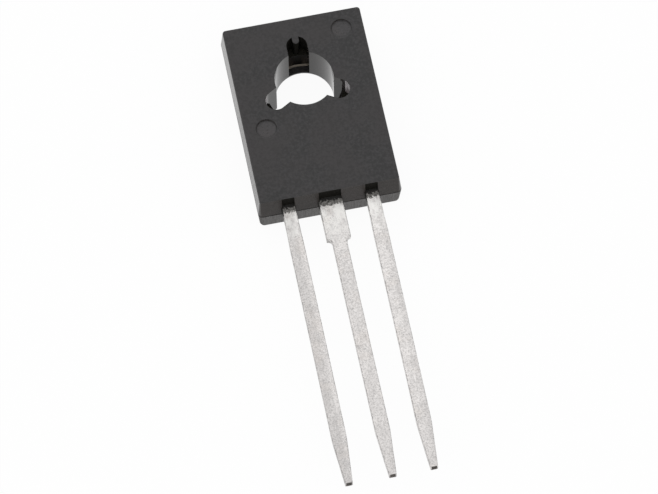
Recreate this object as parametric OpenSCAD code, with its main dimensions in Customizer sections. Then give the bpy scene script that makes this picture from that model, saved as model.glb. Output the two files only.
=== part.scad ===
// Power transistor in a flat moulded package with a screw hole and three leads.
// Lies on its back. Origin on the hole's axis, at the mounting face.
// +Z out of the front face, +Y away from the leads. Millimetres.

/* [Moulded body] */
// Width across the parting line
body_w = 7.6; // [7.2:0.1:9]
// Length along the parting line, hole end to lead end
body_l = 10.6; // [10:0.1:13]
// Thickness, mounting face to front face
body_t = 2.45; // [2.35:0.05:3.2]
// Parting line above the mounting face, where the leads come out
part_z = 1.2; // [1.1:0.05:1.3]
// Draft of the two sides in front of the parting line, in degrees
side_draft = 5.5; // [2:0.5:10]
// Draft of the hole end in front of the parting line, in degrees
top_draft = 5; // [2:0.5:10]
// Draft of the lead end in front of the parting line, in degrees
lead_end_draft = 11; // [4:0.5:16]
// Draft of all four sides behind the parting line, in degrees
back_draft = 4.5; // [2:0.5:8]
// Radius of the four upright corners
corner_r = 0.25; // [0.1:0.05:0.6]

/* [Mounting hole] */
// Diameter of the screw hole
hole_d = 3.1; // [2.6:0.1:3.4]
// Hole axis to the hole end of the body
hole_to_end = 3.7; // [3.4:0.1:4.4]
// Width of each clamp notch in the hole
notch_w = 1.1; // [0.6:0.05:1.3]
// Hole axis to the round end of a clamp notch
notch_reach = 2.5; // [2.3:0.05:2.7]
// Plastic web left at the back under each notch
notch_floor = 0.1; // [0.1:0.05:0.4]
// Width of the tooth in the end of the top notch
tooth_w = 0.34; // [0.2:0.02:0.5]
// Length of that tooth
tooth_l = 0.42; // [0.2:0.02:0.5]

/* [Mould marks] */
// Diameter of the two ejector pin marks
ejector_d = 1.1; // [0.6:0.1:1.3]
// Depth of the ejector pin marks
ejector_depth = 0.12; // [0.03:0.01:0.15]
// Ejector mark to the hole axis, across and along the body
ejector_offset = 2.5; // [2.5:0.1:2.8]
// Plastic over each edge of a lead, beside the slot that shows its root
slot_cover = 0.05; // [0.02:0.01:0.1]

/* [Collector pad] */
// Thickness of the pad
pad_t = 1.2; // [1:0.05:1.3]
// Diameter of the pad's hole round the screw hole
pad_hole_d = 4; // [3.8:0.1:4.3]
// Plastic beside the pad, on each side
pad_side_cover = 1; // [0.7:0.05:1.1]
// Plastic past the pad at the hole end
pad_top_cover = 0.75; // [0.6:0.05:0.8]
// Plastic past the pad at the lead end
pad_lead_cover = 1.75; // [1.6:0.05:2]
// Width of the lip that locks the pad in the plastic
lip_w = 0.25; // [0.1:0.05:0.4]
// Thickness of that lip
lip_t = 0.5; // [0.3:0.05:0.7]
// Corner radius of the pad
pad_corner_r = 0.5; // [0.3:0.05:0.8]

/* [Leads] */
// Lead centre to lead centre
pitch = 2.2; // [2.1:0.02:2.5]
// Width of a lead
lead_w = 0.76; // [0.6:0.02:0.9]
// Thickness of a lead
lead_t = 0.5; // [0.4:0.02:0.6]
// Lead length past the body's parting line
lead_l = 15.5; // [10:0.5:18]
// Width of the middle lead at its root
root_w = 1.27; // [1:0.01:1.5]
// Length of that wide root, past the parting line
root_l = 2.15; // [1.5:0.05:3]
// Inner radius where the wide root steps down to the lead
shoulder_r = 0.22; // [0.1:0.02:0.3]
// Width of a lead at its tip
tip_w = 0.38; // [0.25:0.01:0.55]
// Length of the taper at a lead's end
taper_l = 2.45; // [1.5:0.05:4]
// Length over which the middle lead steps up from the pad
step_l = 0.6; // [0.4:0.05:0.8]

/* [Bond posts] */
// Gap from a post to the pad's end
post_gap = 0.45; // [0.3:0.05:0.6]
// Gap from a post to the middle lead
post_side_gap = 0.4; // [0.3:0.05:0.6]
// Plastic beside a post
post_side_cover = 0.7; // [0.5:0.05:0.8]
// Plastic past a post at the lead end
post_cover = 0.55; // [0.4:0.05:0.7]

/* [Chip and wires] */
// Side of the square silicon die
die_w = 1.8; // [1.2:0.1:2.1]
// Thickness of the die
die_t = 0.22; // [0.15:0.01:0.3]
// Thickness of the solder under the die
solder_t = 0.04; // [0.02:0.01:0.08]
// Solder seen past the die, on each side
solder_edge = 0.12; // [0.05:0.01:0.2]
// Diameter of the emitter wire
emitter_wire_d = 0.2; // [0.12:0.01:0.24]
// Diameter of the base wire
base_wire_d = 0.14; // [0.1:0.01:0.2]
// Plastic from a wire's centre line to the front face
loop_cover = 0.3; // [0.25:0.01:0.35]
// Bend radius of a wire's centre line
bend_r = 0.15; // [0.12:0.01:0.18]
// Thickness of the foot bonded at each wire end
foot_t = 0.05; // [0.03:0.01:0.08]
// Wire foot diameter over wire diameter
foot_ratio = 1.8; // [1.3:0.1:2.2]

/* [Hidden] */
$fn = 64;
// Segments round a wire, which is small
wire_fn = 24;
// Cutters run this far past the faces that they cut
over = 1;

top_y = hole_to_end;
bottom_y = hole_to_end - body_l;
front_h = body_t - part_z;
front_side_in = front_h * tan(side_draft);
front_top_in = front_h * tan(top_draft);
front_bottom_in = front_h * tan(lead_end_draft);
back_in = part_z * tan(back_draft);
slot_y = bottom_y + front_bottom_in;

notch_r = notch_w / 2;
notch_angles = [90, 210, 330];

pad_w = body_w - 2 * pad_side_cover;
pad_top_y = top_y - pad_top_cover;
pad_bottom_y = bottom_y + pad_lead_cover;

lead_top_z = part_z + lead_t;
tip_y = bottom_y - lead_l;
root_end_y = bottom_y - root_l;
shoulder = min(shoulder_r, (root_w - lead_w) / 2);

post_x0 = root_w / 2 + post_side_gap;
post_x1 = body_w / 2 - post_side_cover;
post_y0 = bottom_y + post_cover;
post_y1 = pad_bottom_y - post_gap;

die_y = (pad_bottom_y - pad_hole_d / 2) / 2;
die_z = pad_t + solder_t;
die_top_z = die_z + die_t;
loop_z = body_t - loop_cover;

// Rectangle from (x0, y0) to (x1, y1) with round corners
module round_rect(x0, y0, x1, y1, r) {
    translate([x0 + r, y0]) square([x1 - x0 - 2 * r, y1 - y0]);
    translate([x0, y0 + r]) square([x1 - x0, y1 - y0 - 2 * r]);
    for (x = [x0 + r, x1 - r], y = [y0 + r, y1 - r]) translate([x, y]) circle(r);
}

// Outline across the body, X against Z
module cross_outline() {
    half = body_w / 2;
    polygon([[-half + back_in, 0], [half - back_in, 0], [half, part_z],
             [half - front_side_in, body_t], [-half + front_side_in, body_t], [-half, part_z]]);
}

// Outline along the body, Y against Z
module long_outline() {
    polygon([[bottom_y + back_in, 0], [top_y - back_in, 0], [top_y, part_z],
             [top_y - front_top_in, body_t], [bottom_y + front_bottom_in, body_t],
             [bottom_y, part_z]]);
}

// Body with all its drafted faces and upright corners, before anything is cut
module drafted_block() {
    intersection() {
        translate([0, top_y + over, 0]) rotate([90, 0, 0])
            linear_extrude(body_l + 2 * over) cross_outline();
        translate([-body_w / 2 - over, 0, 0]) rotate([90, 0, 90])
            linear_extrude(body_w + 2 * over) long_outline();
        translate([0, 0, -over]) linear_extrude(body_t + 2 * over)
            round_rect(-body_w / 2, bottom_y, body_w / 2, top_y, corner_r);
    }
}

// One clamp notch seen from the front, pointing along +X and starting inside the hole
module notch_outline() {
    start = hole_d / 4;
    translate([start, -notch_r]) square([notch_reach - notch_r - start, notch_w]);
    translate([notch_reach - notch_r, 0]) circle(notch_r);
}

// Tooth left in the end of the top notch
module tooth_outline() {
    tip = notch_reach - tooth_l + tooth_w / 2;
    translate([tip, -tooth_w / 2]) square([tooth_l, tooth_w]);
    translate([tip, 0]) circle(tooth_w / 2);
}

module hole_cut() {
    translate([0, 0, -over]) cylinder(d = hole_d, h = body_t + 2 * over);
    translate([0, 0, notch_floor]) for (angle = notch_angles) rotate([0, 0, angle])
        linear_extrude(body_t) difference() {
            notch_outline();
            if (angle == notch_angles[0]) tooth_outline();
        }
}

// Slot in the body's lead end, down onto a lead of width w at x
module lead_slot(x, w) {
    slot_w = w - 2 * slot_cover;
    translate([x - slot_w / 2, slot_y - over, part_z + lead_t / 2])
        cube([slot_w, over, body_t]);
}

module ejector_marks() {
    for (side = [-1, 1])
        translate([side * ejector_offset, side * ejector_offset, body_t - ejector_depth])
            cylinder(d = ejector_d, h = over);
}

module body() {
    color([0.16, 0.16, 0.165]) difference() {
        drafted_block();
        hole_cut();
        ejector_marks();
        lead_slot(-pitch, lead_w);
        lead_slot(0, root_w);
        lead_slot(pitch, lead_w);
        collector_frame();
        emitter_lead();
        base_lead();
        die_solder();
        die();
        emitter_wire();
        base_wire();
    }
}

// Flat lead seen from the front, centred on x, from y0 out to its tapered tip
module lead_outline(x, y0) {
    polygon([[x - lead_w / 2, y0], [x - lead_w / 2, tip_y + taper_l], [x - tip_w / 2, tip_y],
             [x + tip_w / 2, tip_y], [x + lead_w / 2, tip_y + taper_l], [x + lead_w / 2, y0]]);
}

// Pad with its lip, up to the given outline inset
module pad_layer(inset, z0, z1) {
    translate([0, 0, z0]) linear_extrude(z1 - z0) difference() {
        round_rect(-pad_w / 2 + inset, pad_bottom_y + inset, pad_w / 2 - inset,
                   pad_top_y - inset, pad_corner_r);
        circle(d = pad_hole_d);
    }
}

// Strip that steps up from the pad and comes out of the body as the wide root
module root_strip() {
    step_y = pad_bottom_y - step_l;
    translate([-root_w / 2, 0, 0]) rotate([90, 0, 90]) linear_extrude(root_w)
        polygon([[pad_bottom_y + lip_w, pad_t - lip_t], [pad_bottom_y + lip_w, pad_t],
                 [pad_bottom_y, pad_t], [step_y, lead_top_z], [root_end_y, lead_top_z],
                 [root_end_y, part_z], [step_y, part_z], [pad_bottom_y, pad_t - lip_t]]);
}

// Middle lead beyond its wide root, with the two rounded shoulders
module middle_outline() {
    lead_outline(0, root_end_y + lead_w / 2);
    for (side = [0, 1]) mirror([side, 0]) difference() {
        translate([0, root_end_y - shoulder]) square([lead_w / 2 + shoulder, shoulder]);
        translate([lead_w / 2 + shoulder, root_end_y - shoulder]) circle(shoulder);
    }
}

// Pad and middle lead, stamped and formed in one piece
module collector_frame() {
    color([0.80, 0.80, 0.78]) union() {
        pad_layer(lip_w, 0, pad_t);
        pad_layer(0, pad_t - lip_t, pad_t);
        root_strip();
        translate([0, 0, part_z]) linear_extrude(lead_t) middle_outline();
    }
}

// Outer lead with its bond post; side is -1 or 1
module outer_lead(side) {
    translate([0, 0, part_z]) linear_extrude(lead_t) {
        lead_outline(side * pitch, post_y0 + (post_y1 - post_y0) / 2);
        translate([side > 0 ? post_x0 : -post_x1, post_y0])
            square([post_x1 - post_x0, post_y1 - post_y0]);
    }
}

module emitter_lead() {
    color([0.82, 0.82, 0.80]) outer_lead(-1);
}

module base_lead() {
    color([0.82, 0.82, 0.80]) outer_lead(1);
}

module die_solder() {
    solder_w = die_w + 2 * solder_edge;
    color([0.62, 0.62, 0.64]) translate([-solder_w / 2, die_y - solder_w / 2, pad_t])
        cube([solder_w, solder_w, solder_t]);
}

module die() {
    color([0.35, 0.37, 0.42]) translate([-die_w / 2, die_y - die_w / 2, die_z])
        cube([die_w, die_w, die_t]);
}

// Foot and upright end of a wire, at the origin, from z up to the bend
module wire_end(z, d) {
    translate([0, 0, z]) cylinder(d = foot_ratio * d, h = foot_t, $fn = wire_fn);
    translate([0, 0, z]) cylinder(d = d, h = loop_z - bend_r - z, $fn = wire_fn);
    translate([bend_r, 0, loop_z - bend_r]) rotate([90, 0, 0]) rotate([0, 0, 90])
        rotate_extrude(angle = 90, $fn = wire_fn) translate([bend_r, 0])
            circle(d = d, $fn = wire_fn);
}

// Wire from the die at p to a post at q, both [x, y]
module bond_wire(p, q, d) {
    span = norm(q - p);
    translate([p[0], p[1], 0]) rotate([0, 0, atan2(q[1] - p[1], q[0] - p[0])]) {
        wire_end(die_top_z, d);
        translate([bend_r, 0, loop_z]) rotate([0, 90, 0])
            cylinder(d = d, h = span - 2 * bend_r, $fn = wire_fn);
        translate([span, 0, 0]) rotate([0, 0, 180]) wire_end(lead_top_z, d);
    }
}

module emitter_wire() {
    color([0.85, 0.85, 0.86]) bond_wire([-die_w / 4, die_y], [-(post_x0 + post_x1) / 2,
        (post_y0 + post_y1) / 2], emitter_wire_d);
}

module base_wire() {
    color([0.85, 0.85, 0.86]) bond_wire([die_w / 4, die_y - die_w / 4], [(post_x0 + post_x1) / 2,
        (post_y0 + post_y1) / 2], base_wire_d);
}

body();
collector_frame();
emitter_lead();
base_lead();
die();
die_solder();
emitter_wire();
base_wire();
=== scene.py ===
"""Power transistor in a flat moulded package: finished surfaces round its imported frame.

Meshes are worked out in millimetres and end in metres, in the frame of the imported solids.
"""

import math
import random

import bmesh
import bpy
from bpy.props import FloatProperty, FloatVectorProperty, IntProperty, PointerProperty
from bpy.types import Operator, Panel, PropertyGroup
from mathutils import Matrix, Vector, noise


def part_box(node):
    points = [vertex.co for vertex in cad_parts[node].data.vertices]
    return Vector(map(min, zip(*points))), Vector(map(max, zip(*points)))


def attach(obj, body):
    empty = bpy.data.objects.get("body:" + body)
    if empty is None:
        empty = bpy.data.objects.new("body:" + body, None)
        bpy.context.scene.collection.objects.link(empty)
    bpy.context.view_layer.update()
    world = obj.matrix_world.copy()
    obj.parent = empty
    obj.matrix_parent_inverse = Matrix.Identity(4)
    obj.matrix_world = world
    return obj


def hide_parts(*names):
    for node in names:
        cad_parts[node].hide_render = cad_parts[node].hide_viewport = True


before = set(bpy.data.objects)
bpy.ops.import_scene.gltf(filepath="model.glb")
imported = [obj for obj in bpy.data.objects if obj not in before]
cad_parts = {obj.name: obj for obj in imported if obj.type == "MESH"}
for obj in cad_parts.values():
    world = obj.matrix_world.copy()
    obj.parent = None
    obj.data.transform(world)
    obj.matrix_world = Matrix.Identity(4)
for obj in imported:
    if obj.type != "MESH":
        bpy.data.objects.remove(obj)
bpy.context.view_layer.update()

bl_info = {
    "name": "Power transistor",
    "version": (1, 0, 0),
    "blender": (4, 5, 0),
    "location": "3D View > Sidebar > Transistor",
    "description": "Moulded power transistor with a screw hole and three tinned leads",
    "category": "Add Mesh",
}

MM = 0.001
BODY_LOW, BODY_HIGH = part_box("body")
PAD_LOW, PAD_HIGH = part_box("collector_frame")
EMITTER_LOW, EMITTER_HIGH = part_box("emitter_lead")
SOLID_NODES = ("collector_frame", "emitter_lead", "base_lead", "die_solder", "die",
               "emitter_wire", "base_wire")

# Cutters run this far past what they cut, in millimetres
OVER = 1.0
# What lies this close to a place counts as there, in millimetres
NEAR = 0.03
# Small step that keeps faces apart, in millimetres
HAIR = 0.01
# Points this close become one, in millimetres
WELD = 1e-4
# Angle between two faces above which their edge shows as an edge
CREASE = math.radians(32)
# Angle between two faces below which they become one
FLAT = math.radians(0.5)
QUARTER = math.pi / 2
# Share of the normal along an axis from which a face looks that way
SQUARE_ON = 0.9
# Share of the normal along Z below which a face counts as upright
UPRIGHT = 0.3
# The same share, where a finish goes over from level to upright
LEVEL_TO_UPRIGHT = (0.7, 0.2)
WHITE = (1, 1, 1)


# ---------------------------------------------------------------- sizes and colours


class TRANSISTOR_PG_body(PropertyGroup):
    side_draft: FloatProperty(
        name="Side draft", description="Draft of the two long sides, in front of the parting line",
        default=math.radians(5.5), subtype="ANGLE", unit="ROTATION")
    hole_end_draft: FloatProperty(
        name="Hole end draft", description="Draft of the end beside the screw hole",
        default=math.radians(5), subtype="ANGLE", unit="ROTATION")
    lead_end_draft: FloatProperty(
        name="Lead end draft", description="Draft of the end where the leads come out",
        default=math.radians(11), subtype="ANGLE", unit="ROTATION")
    back_draft: FloatProperty(
        name="Back draft", description="Draft of all sides behind the parting line",
        default=math.radians(4.5), subtype="ANGLE", unit="ROTATION")
    corner_radius: FloatProperty(
        name="Corner radius", description="Radius of the four upright corners",
        default=0.25 * MM, subtype="DISTANCE", unit="LENGTH")
    back_corner: FloatProperty(
        name="Back corner", description="How much more of the four corners is rounded at the back",
        default=0.07 * MM, subtype="DISTANCE", unit="LENGTH")
    front_edge: FloatProperty(
        name="Front edge radius", description="Rounding between the front face and the sides",
        default=0.07 * MM, subtype="DISTANCE", unit="LENGTH")
    back_edge: FloatProperty(
        name="Back edge radius", description="Rounding between the back face and the sides",
        default=0.05 * MM, subtype="DISTANCE", unit="LENGTH")
    parting_groove: FloatProperty(
        name="Parting groove", description="Depth of the fine line where the mould halves met",
        default=0.03 * MM, subtype="DISTANCE", unit="LENGTH")
    rim_edge: FloatProperty(
        name="Rim radius", description="Rounding of the rims of the hole, notches and slots",
        default=0.02 * MM, subtype="DISTANCE", unit="LENGTH")
    hole_radius: FloatProperty(
        name="Hole radius", description="Radius of the screw hole",
        default=1.55 * MM, subtype="DISTANCE", unit="LENGTH")
    notch_width: FloatProperty(
        name="Notch width", description="Width of each clamp notch in the hole",
        default=1.1 * MM, subtype="DISTANCE", unit="LENGTH")
    notch_reach: FloatProperty(
        name="Notch reach", description="Hole axis to the round end of a clamp notch",
        default=2.5 * MM, subtype="DISTANCE", unit="LENGTH")
    notch_floor: FloatProperty(
        name="Notch floor", description="Thin web of plastic left at the back of each notch",
        default=0.1 * MM, subtype="DISTANCE", unit="LENGTH")
    web_chip: FloatProperty(
        name="Web chip", description="How far the edge of that web has broken away",
        default=0.17 * MM, subtype="DISTANCE", unit="LENGTH")
    tooth_width: FloatProperty(
        name="Tooth width", description="Width of the tooth in the end of the top notch",
        default=0.34 * MM, subtype="DISTANCE", unit="LENGTH")
    tooth_length: FloatProperty(
        name="Tooth length", description="Length of that tooth",
        default=0.42 * MM, subtype="DISTANCE", unit="LENGTH")
    mark_radius: FloatProperty(
        name="Ejector mark radius", description="Radius of the two ejector pin marks",
        default=0.55 * MM, subtype="DISTANCE", unit="LENGTH")
    mark_depth: FloatProperty(
        name="Ejector mark depth", description="Depth of the marks on their deep side",
        default=0.14 * MM, subtype="DISTANCE", unit="LENGTH")
    mark_lean: FloatProperty(
        name="Ejector mark lean", description="Share of the depth lost towards the leads",
        default=0.8, min=0, max=1, subtype="FACTOR")
    mark_offset: FloatProperty(
        name="Ejector mark offset", description="Hole axis to a mark, across and along the body",
        default=2.5 * MM, subtype="DISTANCE", unit="LENGTH")
    slot_cover: FloatProperty(
        name="Slot cover", description="Plastic over each edge of a lead, beside its slot",
        default=0.05 * MM, subtype="DISTANCE", unit="LENGTH")


class TRANSISTOR_PG_metal(PropertyGroup):
    pitch: FloatProperty(
        name="Pitch", description="Lead centre to lead centre",
        default=2.2 * MM, subtype="DISTANCE", unit="LENGTH")
    lead_width: FloatProperty(
        name="Lead width", description="Width of a lead",
        default=0.76 * MM, subtype="DISTANCE", unit="LENGTH")
    neck_width: FloatProperty(
        name="Neck width", description="Width of an outer lead next to the body, above the tin dip",
        default=0.72 * MM, subtype="DISTANCE", unit="LENGTH")
    tip_width: FloatProperty(
        name="Tip width", description="Width of a lead at its cut end",
        default=0.38 * MM, subtype="DISTANCE", unit="LENGTH")
    taper_length: FloatProperty(
        name="Taper length", description="Length of the taper at a lead's end",
        default=2.45 * MM, subtype="DISTANCE", unit="LENGTH")
    root_width: FloatProperty(
        name="Root width", description="Width of the middle lead at its root",
        default=1.27 * MM, subtype="DISTANCE", unit="LENGTH")
    root_length: FloatProperty(
        name="Root length", description="Length of that wide root past the parting line",
        default=2.1 * MM, subtype="DISTANCE", unit="LENGTH")
    left_shoulder: FloatProperty(
        name="Left shoulder", description="Hollow radius at the left of the wide root",
        default=0.3 * MM, subtype="DISTANCE", unit="LENGTH")
    right_shoulder: FloatProperty(
        name="Right shoulder", description="Hollow radius at the right of the wide root",
        default=0.22 * MM, subtype="DISTANCE", unit="LENGTH")
    lead_edge: FloatProperty(
        name="Lead edge radius", description="Rounding of the stamped and dipped lead edges",
        default=0.07 * MM, subtype="DISTANCE", unit="LENGTH")
    ripple: FloatProperty(
        name="Ripple", description="Unevenness of the dipped tin",
        default=0.006 * MM, subtype="DISTANCE", unit="LENGTH")
    pad_hole_radius: FloatProperty(
        name="Pad hole radius", description="Radius of the collector pad's hole",
        default=2 * MM, subtype="DISTANCE", unit="LENGTH")
    pad_thickness: FloatProperty(
        name="Pad thickness", description="Thickness of the collector pad",
        default=1.2 * MM, subtype="DISTANCE", unit="LENGTH")
    pad_length: FloatProperty(
        name="Pad length", description="Length of the collector pad, along the body",
        default=8.1 * MM, subtype="DISTANCE", unit="LENGTH")
    lip_width: FloatProperty(
        name="Lip width", description="Width of the lip that locks the pad in the plastic",
        default=0.25 * MM, subtype="DISTANCE", unit="LENGTH")
    lip_thickness: FloatProperty(
        name="Lip thickness", description="Thickness of that lip",
        default=0.5 * MM, subtype="DISTANCE", unit="LENGTH")
    pad_corner: FloatProperty(
        name="Pad corner radius", description="Corner radius of the collector pad",
        default=0.5 * MM, subtype="DISTANCE", unit="LENGTH")
    step_length: FloatProperty(
        name="Step length", description="Length over which the middle lead steps up from the pad",
        default=0.6 * MM, subtype="DISTANCE", unit="LENGTH")
    post_length: FloatProperty(
        name="Post length", description="Length of a bond post, along the body",
        default=0.75 * MM, subtype="DISTANCE", unit="LENGTH")
    pressed_edge: FloatProperty(
        name="Pressed edge", description="Edge of the pad's hole, dulled by the clamping pins",
        default=0.03 * MM, subtype="DISTANCE", unit="LENGTH")
    burr_height: FloatProperty(
        name="Burr height", description="Height of the burnished burr at the foot of the pad's hole",
        default=0.12 * MM, subtype="DISTANCE", unit="LENGTH")
    burr_reach: FloatProperty(
        name="Burr reach", description="How far that burr stands out of the wall",
        default=0.07 * MM, subtype="DISTANCE", unit="LENGTH")
    film_length: FloatProperty(
        name="Resin film length", description="Resin that bled out over a lead, past the parting line",
        default=0.24 * MM, subtype="DISTANCE", unit="LENGTH")


class TRANSISTOR_PG_finish(PropertyGroup):
    compound: FloatVectorProperty(
        name="Moulding compound", description="Colour of the black moulded plastic",
        subtype="COLOR", size=3, min=0, max=1, default=(0.0186, 0.0174, 0.0182))
    compound_grain: FloatProperty(
        name="Compound grain", description="Size of the fine grain of the moulded surface",
        default=0.05 * MM, subtype="DISTANCE", unit="LENGTH")
    # Painted shade: this very dark colour stands for the shade in the lead slots, at the far end of
    # the top notch and on the pad's top in the notches
    recess_shade: FloatVectorProperty(
        name="Torn resin", description="Colour of the rough plastic in the lead slots",
        subtype="COLOR", size=3, min=0, max=1, default=(0.008, 0.0075, 0.006))
    tin: FloatVectorProperty(
        name="Tin", description="Colour of the matt tin on the leads and the pad",
        subtype="COLOR", size=3, min=0, max=1, default=(0.825, 0.800, 0.786))
    tin_grain: FloatProperty(
        name="Tin grain", description="Size of the frosting of the tin",
        default=0.12 * MM, subtype="DISTANCE", unit="LENGTH")
    resin_film: FloatVectorProperty(
        name="Resin film", description="Colour of the thin resin that bled onto a lead",
        subtype="COLOR", size=3, min=0, max=1, default=(0.13, 0.125, 0.118))
    copper: FloatVectorProperty(
        name="Sheared copper", description="Colour of the bare copper where metal was cut",
        subtype="COLOR", size=3, min=0, max=1, default=(0.05, 0.04, 0.032))
    burnished_copper: FloatVectorProperty(
        name="Burnished copper", description="Colour of the burr round the pad's hole",
        subtype="COLOR", size=3, min=0, max=1, default=(0.34, 0.3, 0.25))
    silicon: FloatVectorProperty(
        name="Silicon", description="Colour of the chip",
        subtype="COLOR", size=3, min=0, max=1, default=(0.16, 0.18, 0.22))
    solder: FloatVectorProperty(
        name="Solder", description="Colour of the solder under the chip",
        subtype="COLOR", size=3, min=0, max=1, default=(0.55, 0.55, 0.57))
    wire: FloatVectorProperty(
        name="Bond wire", description="Colour of the aluminium bond wires",
        subtype="COLOR", size=3, min=0, max=1, default=(0.85, 0.85, 0.86))


class TRANSISTOR_PG_stage(PropertyGroup):
    floor_size: FloatProperty(
        name="Floor size", description="Side of the square floor",
        default=1.2, subtype="DISTANCE", unit="LENGTH")
    floor_gap: FloatProperty(
        name="Floor gap", description="Gap between the floor and the mounting face",
        default=0.002 * MM, subtype="DISTANCE", unit="LENGTH", precision=6)
    floor_colour: FloatVectorProperty(
        name="Floor colour", description="Colour of the plain pale floor",
        subtype="COLOR", size=3, min=0, max=1, default=(0.96, 0.96, 0.96))
    floor_glow: FloatProperty(
        name="Floor white", description="How far the floor shows as plain white, before its shadow",
        default=0.94, min=0, max=1, subtype="FACTOR")
    floor_gloss: FloatProperty(
        name="Floor white in gloss", description="The same share, where the part reflects the floor",
        default=0.97, min=0, max=1, subtype="FACTOR")
    sky_level: FloatProperty(
        name="Sky level", description="Even light from all round",
        default=0.9, min=0, max=4)
    lamp_power: FloatProperty(
        name="Lamp power", description="Power of the wide lamp over the front face, in watts",
        default=0.03, min=0)
    lamp_size: FloatProperty(
        name="Lamp size", description="Side of the wide lamp",
        default=0.2, subtype="DISTANCE", unit="LENGTH")
    lamp_direction: FloatVectorProperty(
        name="Lamp direction", description="Where the wide lamp stands, as seen from the part",
        subtype="DIRECTION", size=3, default=(-0.6, 0.6, 0.7))
    lamp_distance: FloatProperty(
        name="Lamp distance", description="Distance of the wide lamp from the part",
        default=0.25, subtype="DISTANCE", unit="LENGTH")
    camera_turn: FloatProperty(
        name="Camera turn", description="Camera's lean to the emitter side",
        default=math.radians(5.05), subtype="ANGLE", unit="ROTATION")
    camera_tilt: FloatProperty(
        name="Camera tilt", description="Camera's lean from straight above towards the lead tips",
        default=math.radians(24.31), subtype="ANGLE", unit="ROTATION")
    camera_roll: FloatProperty(
        name="Camera roll", description="Turn of the picture about the line of sight",
        default=math.radians(-12.70), subtype="ANGLE", unit="ROTATION")
    camera_distance: FloatProperty(
        name="Camera distance", description="Distance from the camera to the point it looks at",
        default=208.9 * MM, subtype="DISTANCE", unit="LENGTH")
    camera_target: FloatVectorProperty(
        name="Camera target", description="Point that the camera looks at",
        default=(-0.570 * MM, -9.250 * MM, 1.241 * MM), subtype="XYZ", unit="LENGTH", precision=5)
    camera_lens: FloatProperty(
        name="Camera lens", description="Focal length in millimetres",
        default=221.4, min=1)
    curve_segments: IntProperty(
        name="Curve segments", description="Segments round the screw hole",
        default=128, min=24, max=256)


def body_sizes():
    return bpy.context.scene.transistor_body


def metal_sizes():
    return bpy.context.scene.transistor_metal


def finishes():
    return bpy.context.scene.transistor_finish


def stage_settings():
    return bpy.context.scene.transistor_stage


# ---------------------------------------------------------------- mesh helpers


def mm(metres):
    return metres / MM


def loft(bm, rings):
    """Closed solid through rings that each have the same number of points."""
    loops = [[bm.verts.new(point) for point in ring] for ring in rings]
    for lower, upper in zip(loops, loops[1:]):
        for i, vert in enumerate(lower):
            j = (i + 1) % len(lower)
            bm.faces.new((vert, lower[j], upper[j], upper[i]))
    bm.faces.new(list(reversed(loops[0])))
    bm.faces.new(loops[-1])


def arc(centre, radius, start, end, segments):
    """Points of a flat arc about centre, both ends included, angles in radians."""
    turn = (end - start) / segments
    return [(centre[0] + radius * math.cos(start + i * turn),
             centre[1] + radius * math.sin(start + i * turn)) for i in range(segments + 1)]


def circle(centre, radius, segments):
    return arc(centre, radius, 0, math.tau, segments)[:-1]


def rounded_rectangle(x0, y0, x1, y1, radius, segments):
    """Outline with round corners, anticlockwise from the right side."""
    points = []
    for quarter, (x, y) in enumerate(((x1 - radius, y1 - radius), (x0 + radius, y1 - radius),
                                      (x0 + radius, y0 + radius), (x1 - radius, y0 + radius))):
        start = quarter * QUARTER
        points += arc((x, y), radius, start, start + QUARTER, segments)
    return points


def turned(points, angle):
    """Flat points turned about the axis of the screw hole."""
    turn = Matrix.Rotation(angle, 2)
    return [tuple(turn @ Vector(point)) for point in points]


def at_height(outline, z):
    return [(x, y, z) for x, y in outline]


def prism(outline, low, high):
    """Solid of one outline, in a mesh of its own."""
    bm = bmesh.new()
    loft(bm, [at_height(outline, low), at_height(outline, high)])
    return scratch_object(bm, "cutter")


def scratch_object(bm, name):
    """Object in millimetres that only serves to make another, from a bmesh that it uses up."""
    bmesh.ops.recalc_face_normals(bm, faces=bm.faces)
    mesh = bpy.data.meshes.new(name)
    bm.to_mesh(mesh)
    bm.free()
    scratch = bpy.data.objects.new(name, mesh)
    bpy.context.scene.collection.objects.link(scratch)
    return scratch


def solid_in_millimetres(node):
    """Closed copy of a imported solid, to cut its place with."""
    bm = bmesh.new()
    bm.from_mesh(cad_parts[node].data)
    bmesh.ops.scale(bm, vec=(1 / MM,) * 3, verts=bm.verts)
    bmesh.ops.remove_doubles(bm, verts=bm.verts, dist=WELD)
    bmesh.ops.dissolve_limit(bm, angle_limit=FLAT, verts=bm.verts, edges=bm.edges)
    return scratch_object(bm, "place_" + node)


def combine(base, others, operation):
    """Joins or cuts base with the others, which are used up, and leaves base a plain mesh."""
    for other in others:
        step = base.modifiers.new("step", "BOOLEAN")
        step.operation = operation
        step.solver = "EXACT"
        step.object = other
    graph = bpy.context.evaluated_depsgraph_get()
    graph.update()
    result = bpy.data.meshes.new_from_object(base.evaluated_get(graph))
    base.modifiers.clear()
    base.data = result
    for other in others:
        bpy.data.objects.remove(other)


def as_bmesh(scratch):
    """Takes a scratch object apart into a bmesh, its double points welded, and removes it."""
    bm = bmesh.new()
    bm.from_mesh(scratch.data)
    bpy.data.objects.remove(scratch)
    bmesh.ops.remove_doubles(bm, verts=bm.verts, dist=WELD)
    return bm


def soften(bm, edges, radius, segments):
    """Rounds edges by a small radius."""
    bmesh.ops.bevel(bm, geom=edges, offset=radius, segments=segments, profile=0.5,
                    affect="EDGES", clamp_overlap=True)


def shade_evenly(mesh):
    """Shades each corner by the larger faces round it, so that narrow roundings leave walls flat."""
    faces_at = [[] for _ in mesh.vertices]
    for face in mesh.polygons:
        for vert in face.vertices:
            faces_at[vert].append((face.normal.copy(), face.area / MM ** 2))
    smooth = math.cos(CREASE)
    normals = []
    for face in mesh.polygons:
        for vert in face.vertices:
            total = Vector()
            for normal, area in faces_at[vert]:
                if normal.dot(face.normal) > smooth:
                    total += normal * area
            normals.append(total.normalized())
    mesh.normals_split_custom_set(normals)


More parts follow.
